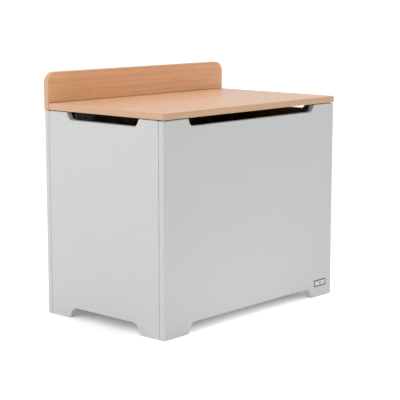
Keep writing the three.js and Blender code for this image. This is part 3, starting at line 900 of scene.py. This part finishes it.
def make_sink():
    """A cutter for the hole that such a screw sits in."""
    wide = HEAD["radius"] + SINK_ROOM["head"]
    shank = HEAD["shank"] + SINK_ROOM["shank"]
    end = -HEAD["length"] - SINK_ROOM["end"]
    profile = [(0, end), (shank, end), (shank, -HEAD["depth"])]
    profile += [(wide, -SINK_ROOM["rim"]), (wide, BEYOND), (0, BEYOND)]
    return turned(profile, (0, 0, 1), (0, 0, 0), SMALL_STEPS)


def screw_moves(places, direction):
    """Matrices that set a screw at each place, facing along the direction, each turned a little further."""
    facing = Vector((0, 0, 1)).rotation_difference(Vector(direction)).to_matrix().to_4x4()
    return [
        Matrix.Translation(Vector(place)) @ facing @ Matrix.Rotation(SCREW_TURN * i, 4, "Z")
        for i, place in enumerate(places)
    ]


def add_screws(name, places, direction, body):
    piece(name, repeated(SCREW, screw_moves(places, direction)), ZINC, body)


def sunk(mesh, places, direction):
    return cut(mesh, [repeated(SINK, screw_moves(places, direction))])


def knuckle(start, end, line, toward):
    """One rolled knuckle between two x values, with a tab on to its leaf, toward +Y or -Y."""
    y, z = line
    r, outer = HINGE["radius"], HINGE["gap"]
    inner = outer - HINGE["leaf"]
    foot = z - 2 * r
    first = HINGE["mouth"]
    last = 2 * math.pi - math.acos(inner / r)
    turns = [first + (last - first) * i / KNUCKLE_STEPS for i in range(KNUCKLE_STEPS + 1)]
    points = [(inner, foot - z), (outer, foot - z), (outer, -HINGE["shoulder"] * r)]
    points += [(r * math.cos(t), r * math.sin(t)) for t in turns]
    points = [(y + toward * u, z + v, 1) for u, v in points]
    return board(points[::toward], "YZ", (start, end), THIN)


def hinge_line(side):
    pin = middle(f"{side}_hinge_pin")
    return pin.y, pin.z


def rolled(side, first, toward):
    """Every second knuckle of a hinge, from the first on."""
    lo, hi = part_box(f"{side}_hinge_pin")
    pitch, play = (hi.x - lo.x) / HINGE["knuckles"], HINGE["play"]
    return [
        knuckle(lo.x + i * pitch + play, lo.x + (i + 1) * pitch - play, hinge_line(side), toward)
        for i in range(first, HINGE["knuckles"], 2)
    ]


def pin_bore(side):
    lo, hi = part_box(f"{side}_hinge_pin")
    return bore(HINGE["bore"], lo.x, hi.x, *hinge_line(side))


def leaf_top(side):
    """The height of the end of the plain upright part of both leaves."""
    return hinge_line(side)[1] - HINGE["radius"] - HINGE["under"]


def leaf_outline(u0, v0, u1, v1):
    """A rectangle whose first two corners, along v0, are round."""
    outline = rectangle(u0, v0, u1, v1, HINGE["corner"])
    return outline[: len(outline) // 2] + [(u1, v1, 1), (u0, v1, 1)]


def make_fixed_leaf(side):
    """It stands on the back panel and faces forward."""
    name = f"{side}_hinge_fixed_leaf"
    lo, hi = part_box(name)
    x, wall = (lo.x + hi.x) / 2, hi.y - HINGE["leaf"]
    plate = board(leaf_outline(lo.x, lo.z, hi.x, leaf_top(side)), "XZ", (wall, hi.y), THIN)
    places = [(x + u, wall, lo.z + v) for u, v in HINGE["fixed_screws"]]
    leaf = cut(joined(plate, rolled(side, 0, 1)), [pin_bore(side)])
    piece(name + "_plate", sunk(leaf, places, (0, -1, 0)), STEEL, "box", [name])
    add_screws(name + "_screws", places, (0, -1, 0), "box")


def make_moving_leaf(side):
    """It is bent: its plate lies under the lid and faces down, and its rear goes up to the barrel."""
    name = f"{side}_hinge_moving_leaf"
    lo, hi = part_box(name)
    x, top, thick, r = (lo.x + hi.x) / 2, leaf_top(side), HINGE["leaf"], HINGE["bend"]
    edge = hinge_line(side)[0] - HINGE["gap"]
    outline = leaf_outline(lo.x, lo.y, hi.x, edge + thick / 2)
    plate = board(outline, "XY", (lo.z, lo.z + thick), THIN)
    bend = corner(edge + thick - r, lo.z + r, 3 * QUARTER, r)
    bend += [(edge + thick, top, 1), (edge, top, 1), (edge, lo.z + thick, 1)]
    bend += [(edge - BEYOND, lo.z + thick, 1), (edge - BEYOND, lo.z, 1)]
    upright = board(bend, "YZ", (lo.x, hi.x), THIN)
    places = [(x + u, lo.y + v, lo.z) for u, v in HINGE["moving_screws"]]
    leaf = cut(joined(plate, [upright, *rolled(side, 1, -1)]), [pin_bore(side)])
    piece(name + "_plate", sunk(leaf, places, (0, 0, -1)), STEEL, "lid", [name])
    add_screws(name + "_screws", places, (0, 0, -1), "lid")


def make_hinge(side):
    make_fixed_leaf(side)
    make_moving_leaf(side)
    name = f"{side}_hinge_pin"
    lo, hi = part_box(name)
    ends = dome(HINGE["pin"], HINGE["pin_dome"], steps=5)
    profile = ends + flipped(ends, hi.x - lo.x)
    shape = turned(profile, (1, 0, 0), (lo.x, *hinge_line(side)), SMALL_STEPS)
    piece(name + "_rod", shape, STEEL, "box", [name])


def rivet(node):
    """A rivet along X through a lever joint of the right side, domed at both ends."""
    lo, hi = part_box(f"right_{node}")
    head = dome((hi.y - lo.y) / 2, RIVET["head"])
    length = hi.x - lo.x
    shank = [(RIVET["pin"], RIVET["head"]), (RIVET["pin"], length - RIVET["head"])]
    profile = head + shank + flipped(head, length)
    return turned(profile, (1, 0, 0), (lo.x, *pivot(node)), ROUND_STEPS)


def pivot(node):
    centre = middle(f"right_{node}")
    return centre.y, centre.z


def lever(node, start, end, half, radius):
    """A pressed steel lever between two pivots, with a groove pressed into its inner face."""
    lo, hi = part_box(f"right_{node}")
    shape = board(stadium(start, end, half), "YZ", (lo.x, hi.x), (LEVER["arris"], LEVER["arris"]))
    heading = (Vector(end) - Vector(start)).normalized() * LEVER["ends"]
    inner = stadium(Vector(start) + heading, Vector(end) - heading, LEVER["groove"])
    pressed = (lo.x - BEYOND, lo.x + LEVER["press"])
    groove = board(inner, "YZ", pressed, (0, LEVER["groove_arris"]))
    holes = [bore(radius, lo.x, hi.x, *place) for place in (start, end)]
    return cut(shape, [groove, *holes])


def make_housing():
    """The moulded housing of a lid stay: a screwed plate and a ribbed barrel with the spring in it."""
    lo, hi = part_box("right_stay_housing")
    y, z = pivot("stay_base_pivot")
    face = hi.x - HOUSING["plate"]
    outline = rectangle(lo.y, lo.z, hi.y, hi.z, HOUSING["corner"])
    plate = board(outline, "YZ", (face, hi.x), HOUSING["plate_arris"])
    ribs = []
    count = HOUSING["ribs"] * HOUSING["rib_points"]
    for i in range(count):
        turn = 2 * math.pi * i / count
        radius = HOUSING["barrel"] - HOUSING["flute"] * (1 - math.cos(HOUSING["ribs"] * turn)) / 2
        ribs.append((y + radius * math.cos(turn), z + radius * math.sin(turn), 1))
    barrel = board(ribs, "YZ", (lo.x, face + BEYOND), HOUSING["barrel_arris"])
    places = [(face, y, z + sign * HOUSING["screw"]) for sign in (-1, 1)]
    shape = cut(joined(plate, [barrel]), [bore(HOUSING["bore"], lo.x, hi.x, y, z)])
    return sunk(shape, places, (-1, 0, 0)), repeated(SCREW, screw_moves(places, (-1, 0, 0)))


def make_bracket():
    """The bracket under the lid: a foot with two screws and a lug that hangs from it."""
    lo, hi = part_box("right_stay_lid_bracket")
    y, z = pivot("stay_lid_pivot")
    foot_low = hi.z - BRACKET["foot"]
    lug_start = hi.x - BRACKET["lug"]
    outline = rectangle(lo.x, lo.y, hi.x, hi.y, BRACKET["corner"])
    foot = board(outline, "XY", (foot_low, hi.z), BRACKET["foot_arris"])
    r = BRACKET["radius"]
    outline = corner(y, z, 2 * QUARTER, r, steps=10) + corner(y, z, 3 * QUARTER, r, steps=10)
    outline += [(y + r + out, foot_low + rise, 1) for out, rise in BRACKET["flare"]]
    outline += [(y - r - out, foot_low + rise, 1) for out, rise in reversed(BRACKET["flare"])]
    points = list(dict.fromkeys(outline))
    lug = board(points, "YZ", (lug_start, hi.x), (BRACKET["lug_arris"], BRACKET["lug_arris"]))
    x = (lo.x + lug_start) / 2
    places = [(x, y + sign * BRACKET["screw"], foot_low) for sign in (-1, 1)]
    shape = cut(joined(foot, [lug]), [bore(LEVER["bore"], lug_start, hi.x, y, z)])
    return sunk(shape, places, (0, 0, -1)), repeated(SCREW, screw_moves(places, (0, 0, -1)))


def make_base_pivot():
    """The screwed axle of the housing, with a hexagon socket in its head."""
    lo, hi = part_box("right_stay_base_pivot")
    y, z = pivot("stay_base_pivot")
    radius, length = (hi.y - lo.y) / 2, hi.x - lo.x
    head = [(0, 0), (radius - AXLE["inset"], 0), (radius, AXLE["bevel"]), (radius, RIVET["head"])]
    profile = head + [(RIVET["pin"], RIVET["head"]), (RIVET["pin"], length), (0, length)]
    outline = circle(y, z, AXLE["socket"], AXLE["sides"])
    socket = board(outline, "YZ", (lo.x - BEYOND, lo.x + 1 * MM), (0, AXLE["arris"]))
    return cut(turned(profile, (1, 0, 0), (lo.x, y, z), ROUND_STEPS), [socket])


def make_stay(side):
    base, knee, top = pivot("stay_base_pivot"), pivot("stay_knee_pivot"), pivot("stay_lid_pivot")
    housing, housing_screws = make_housing()
    bracket, bracket_screws = make_bracket()
    name = f"{side}_stay_housing"
    piece(name + "_part", sided(housing, side), NYLON, "box", [name])
    for node, shape, body in (
        ("stay_base_pivot", make_base_pivot(), "box"),
        ("stay_arm", lever("stay_arm", base, knee, LEVER["arm"], LEVER["bore"]), f"{side}_stay_arm"),
        ("stay_knee_pivot", rivet("stay_knee_pivot"), f"{side}_stay_arm"),
        ("stay_link", lever("stay_link", knee, top, LEVER["link"], LEVER["loose"]), f"{side}_stay_link"),
        ("stay_lid_pivot", rivet("stay_lid_pivot"), "lid"),
        ("stay_lid_bracket", bracket, "lid"),
    ):
        name = f"{side}_{node}"
        piece(name + "_part", sided(shape, side), STEEL, body, [name])
    piece(f"{side}_stay_housing_screws", sided(housing_screws, side), ZINC, "box")
    piece(f"{side}_stay_bracket_screws", sided(bracket_screws, side), ZINC, "lid")


def make_bumpers():
    for end in ("front", "rear"):
        for side in SIDES:
            name = f"{end}_{side}_bumper"
            lo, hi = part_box(name)
            centre = middle(name)
            radius, height = (hi.x - lo.x) / 2, hi.z - lo.z
            rim_inset, rim_height = BUMPER["rim"]
            profile = dome(radius - BUMPER["inset"], BUMPER["dome"])
            profile += [(radius - rim_inset, rim_height), (radius, height), (0, height)]
            shape = turned(profile, (0, 0, 1), (centre.x, centre.y, lo.z), ROUND_STEPS)
            piece(name + "_pad", shape, RUBBER, "lid", [name])


def cam_disc(node):
    """A cam lock of the right side, with a cross recess in the face that looks into the box."""
    lo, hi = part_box(node)
    centre = middle(node)
    r, length, bevel = (hi.y - lo.y) / 2, hi.x - lo.x, CAM_LOCK["bevel"]
    profile = [(0, 0)] + [(r - inset, under) for inset, under in CAM_LOCK["face"]]
    profile += [(r, length - bevel), (r - bevel, length), (0, length)]
    disc = turned(profile, (1, 0, 0), (lo.x, centre.y, centre.z))
    outline = cross(CAM_LOCK["cross"], CAM_LOCK["blade"])
    slots = board(outline, "XY", (-CAM_LOCK["recess"], BEYOND), (CAM_LOCK["arris"], 0))
    facing = Matrix.Rotation(-QUARTER, 4, "Y") @ Matrix.Rotation(CAM_LOCK["turn"], 4, "Z")
    slots.transform(Matrix.Translation((lo.x, centre.y, centre.z)) @ facing)
    return cut(disc, [slots])


def make_cam_fittings():
    """The cam locks. Their bolts, and the dowels, lie wholly inside the boards and keep their shape."""
    for end in ("front", "rear"):
        for side in SIDES:
            bolts, locks, dowel = fittings(end, side)
            for bolt, lock in zip(bolts, locks):
                shape = sided(cam_disc(lock.replace("left", "right")), side)
                shape = cut(shape, [hole_for(bolt, 1, FIT / 2)])
                piece(lock + "_disc", shape, ZINC, "box", [lock])
                carried(bolt, ZINC)
            carried(dowel, PINE)
    for side in SIDES:
        carried(f"{side}_backboard_dowel", PINE)


def make_badge():
    """A blank plate: a raised dark border round a light field with one plain dot."""
    lo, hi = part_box("badge_plate")
    border, front = BADGE["border"], lo.y
    floor = front + BADGE["recess"]
    skin = floor - BADGE["skin"]
    outline = rectangle(lo.x, lo.z, hi.x, hi.z, BADGE["corner"])
    plate = board(outline, "XZ", (front, hi.y), BADGE["arris"])
    inner = rectangle(lo.x + border, lo.z + border, hi.x - border, hi.z - border, BADGE["inner_corner"])
    recess = board(inner, "XZ", (front - BEYOND, floor), (0, 0))
    piece("badge_border", cut(plate, [recess]), BADGE_DARK, "box", ["badge_plate"])
    field = board(inner, "XZ", (skin, floor), (BADGE["skin_arris"], 0))
    piece("badge_field", field, BADGE_LIGHT, "box")
    outline = circle((lo.x + hi.x) / 2, (lo.z + hi.z) / 2, BADGE["dot"], ROUND_STEPS)
    dot = board(outline, "XZ", (front + BADGE["dot_set"], skin), (BADGE["skin_arris"], 0))
    piece("badge_dot", dot, BADGE_DARK, "box")


SCREW = make_screw()
SINK = make_sink()

make_panels()
make_base()
make_lid()
make_backboard()
for side in SIDES:
    make_hinge(side)
    make_stay(side)
make_bumpers()
make_cam_fittings()
make_badge()

# ---- Stage ----

CAMERA_PLACE = Vector((-2.186, -1.997, 0.745))
CAMERA_HEADING = math.radians(42.13)  # from +X towards +Y
CAMERA_PITCH = math.radians(9.21)  # downwards
SENSOR = 36.0
LENS = 113.3
CAMERA_SHIFT = -0.015
BLACK_LEVEL = 0.007  # of the exposure, below which the picture is black
# Strengths at the far and near horizon and overhead, and the power of the height between them
SKY = {"far": 0.42, "near": 0.60, "zenith": 1.10, "heading": math.radians(9), "power": 0.85}
# Place, aim, size and power of each light
LIGHTS = {
    "key": ((-2.3, 0.8, 1.4), (-0.2, 0, 0.25), (1.4, 1.4), 21),
    "overhead": ((0.3, -0.3, 2.0), (0.2, -0.3, 0), (1.4, 1.4), 15),
}


def make_camera():
    data = bpy.data.cameras.new("camera")
    data.sensor_width = SENSOR
    data.lens = LENS
    data.shift_y = CAMERA_SHIFT
    camera = bpy.data.objects.new("camera", data)
    camera.location = CAMERA_PLACE
    camera.rotation_euler = (QUARTER - CAMERA_PITCH, 0, CAMERA_HEADING - QUARTER)
    bpy.context.scene.collection.objects.link(camera)
    bpy.context.scene.camera = camera


def make_light(name, place, aim, size, power):
    data = bpy.data.lights.new(name, "AREA")
    data.shape = "RECTANGLE"
    data.size, data.size_y = size
    data.energy = power
    light = bpy.data.objects.new(name, data)
    light.location = place
    light.rotation_euler = (Vector(aim) - Vector(place)).to_track_quat("-Z", "Y").to_euler()
    bpy.context.scene.collection.objects.link(light)


def make_floor():
    half = FLOOR_HALF
    mesh = bpy.data.meshes.new("floor")
    corners = [(-half, -half, 0), (half, -half, 0), (half, half, 0), (-half, half, 0)]
    mesh.from_pydata(corners, [], [(0, 1, 2, 3)])
    mesh.materials.append(FLOOR)
    floor = bpy.data.objects.new("floor", mesh)
    bpy.context.scene.collection.objects.link(floor)


def make_sky():
    """A sky that is brighter on the near side than on the far side, and brightest overhead."""
    world = bpy.data.worlds.new("studio")
    bpy.context.scene.world = world
    world.use_nodes = True
    s = Nodes(world.node_tree)
    direction = s.add("ShaderNodeTexCoord").outputs["Generated"]
    away = (math.cos(SKY["heading"]), math.sin(SKY["heading"]), 0)
    far = s.vector_math("DOT_PRODUCT", direction, away)
    up = s.vector_math("DOT_PRODUCT", direction, (0, 0, 1))
    high_up = s.math("POWER", s.math("MAXIMUM", up, 0), SKY["power"])
    mean, half = (SKY["far"] + SKY["near"]) / 2, (SKY["far"] - SKY["near"]) / 2
    level = s.math("MULTIPLY_ADD", far, half, mean)
    rest = s.math("SUBTRACT", SKY["zenith"], level)
    strength = s.math("MULTIPLY_ADD", rest, high_up, level)
    s.fill(s.tree.nodes["Background"], {"Color": rgb(1.0, 1.0, 1.0), "Strength": strength})


def set_exposure():
    view = bpy.context.scene.view_settings
    view.view_transform = "Standard"
    view.use_curve_mapping = True
    view.curve_mapping.black_level = [BLACK_LEVEL] * 3


make_camera()
make_floor()
make_sky()
for name, settings in LIGHTS.items():
    make_light(name, *settings)
set_exposure()
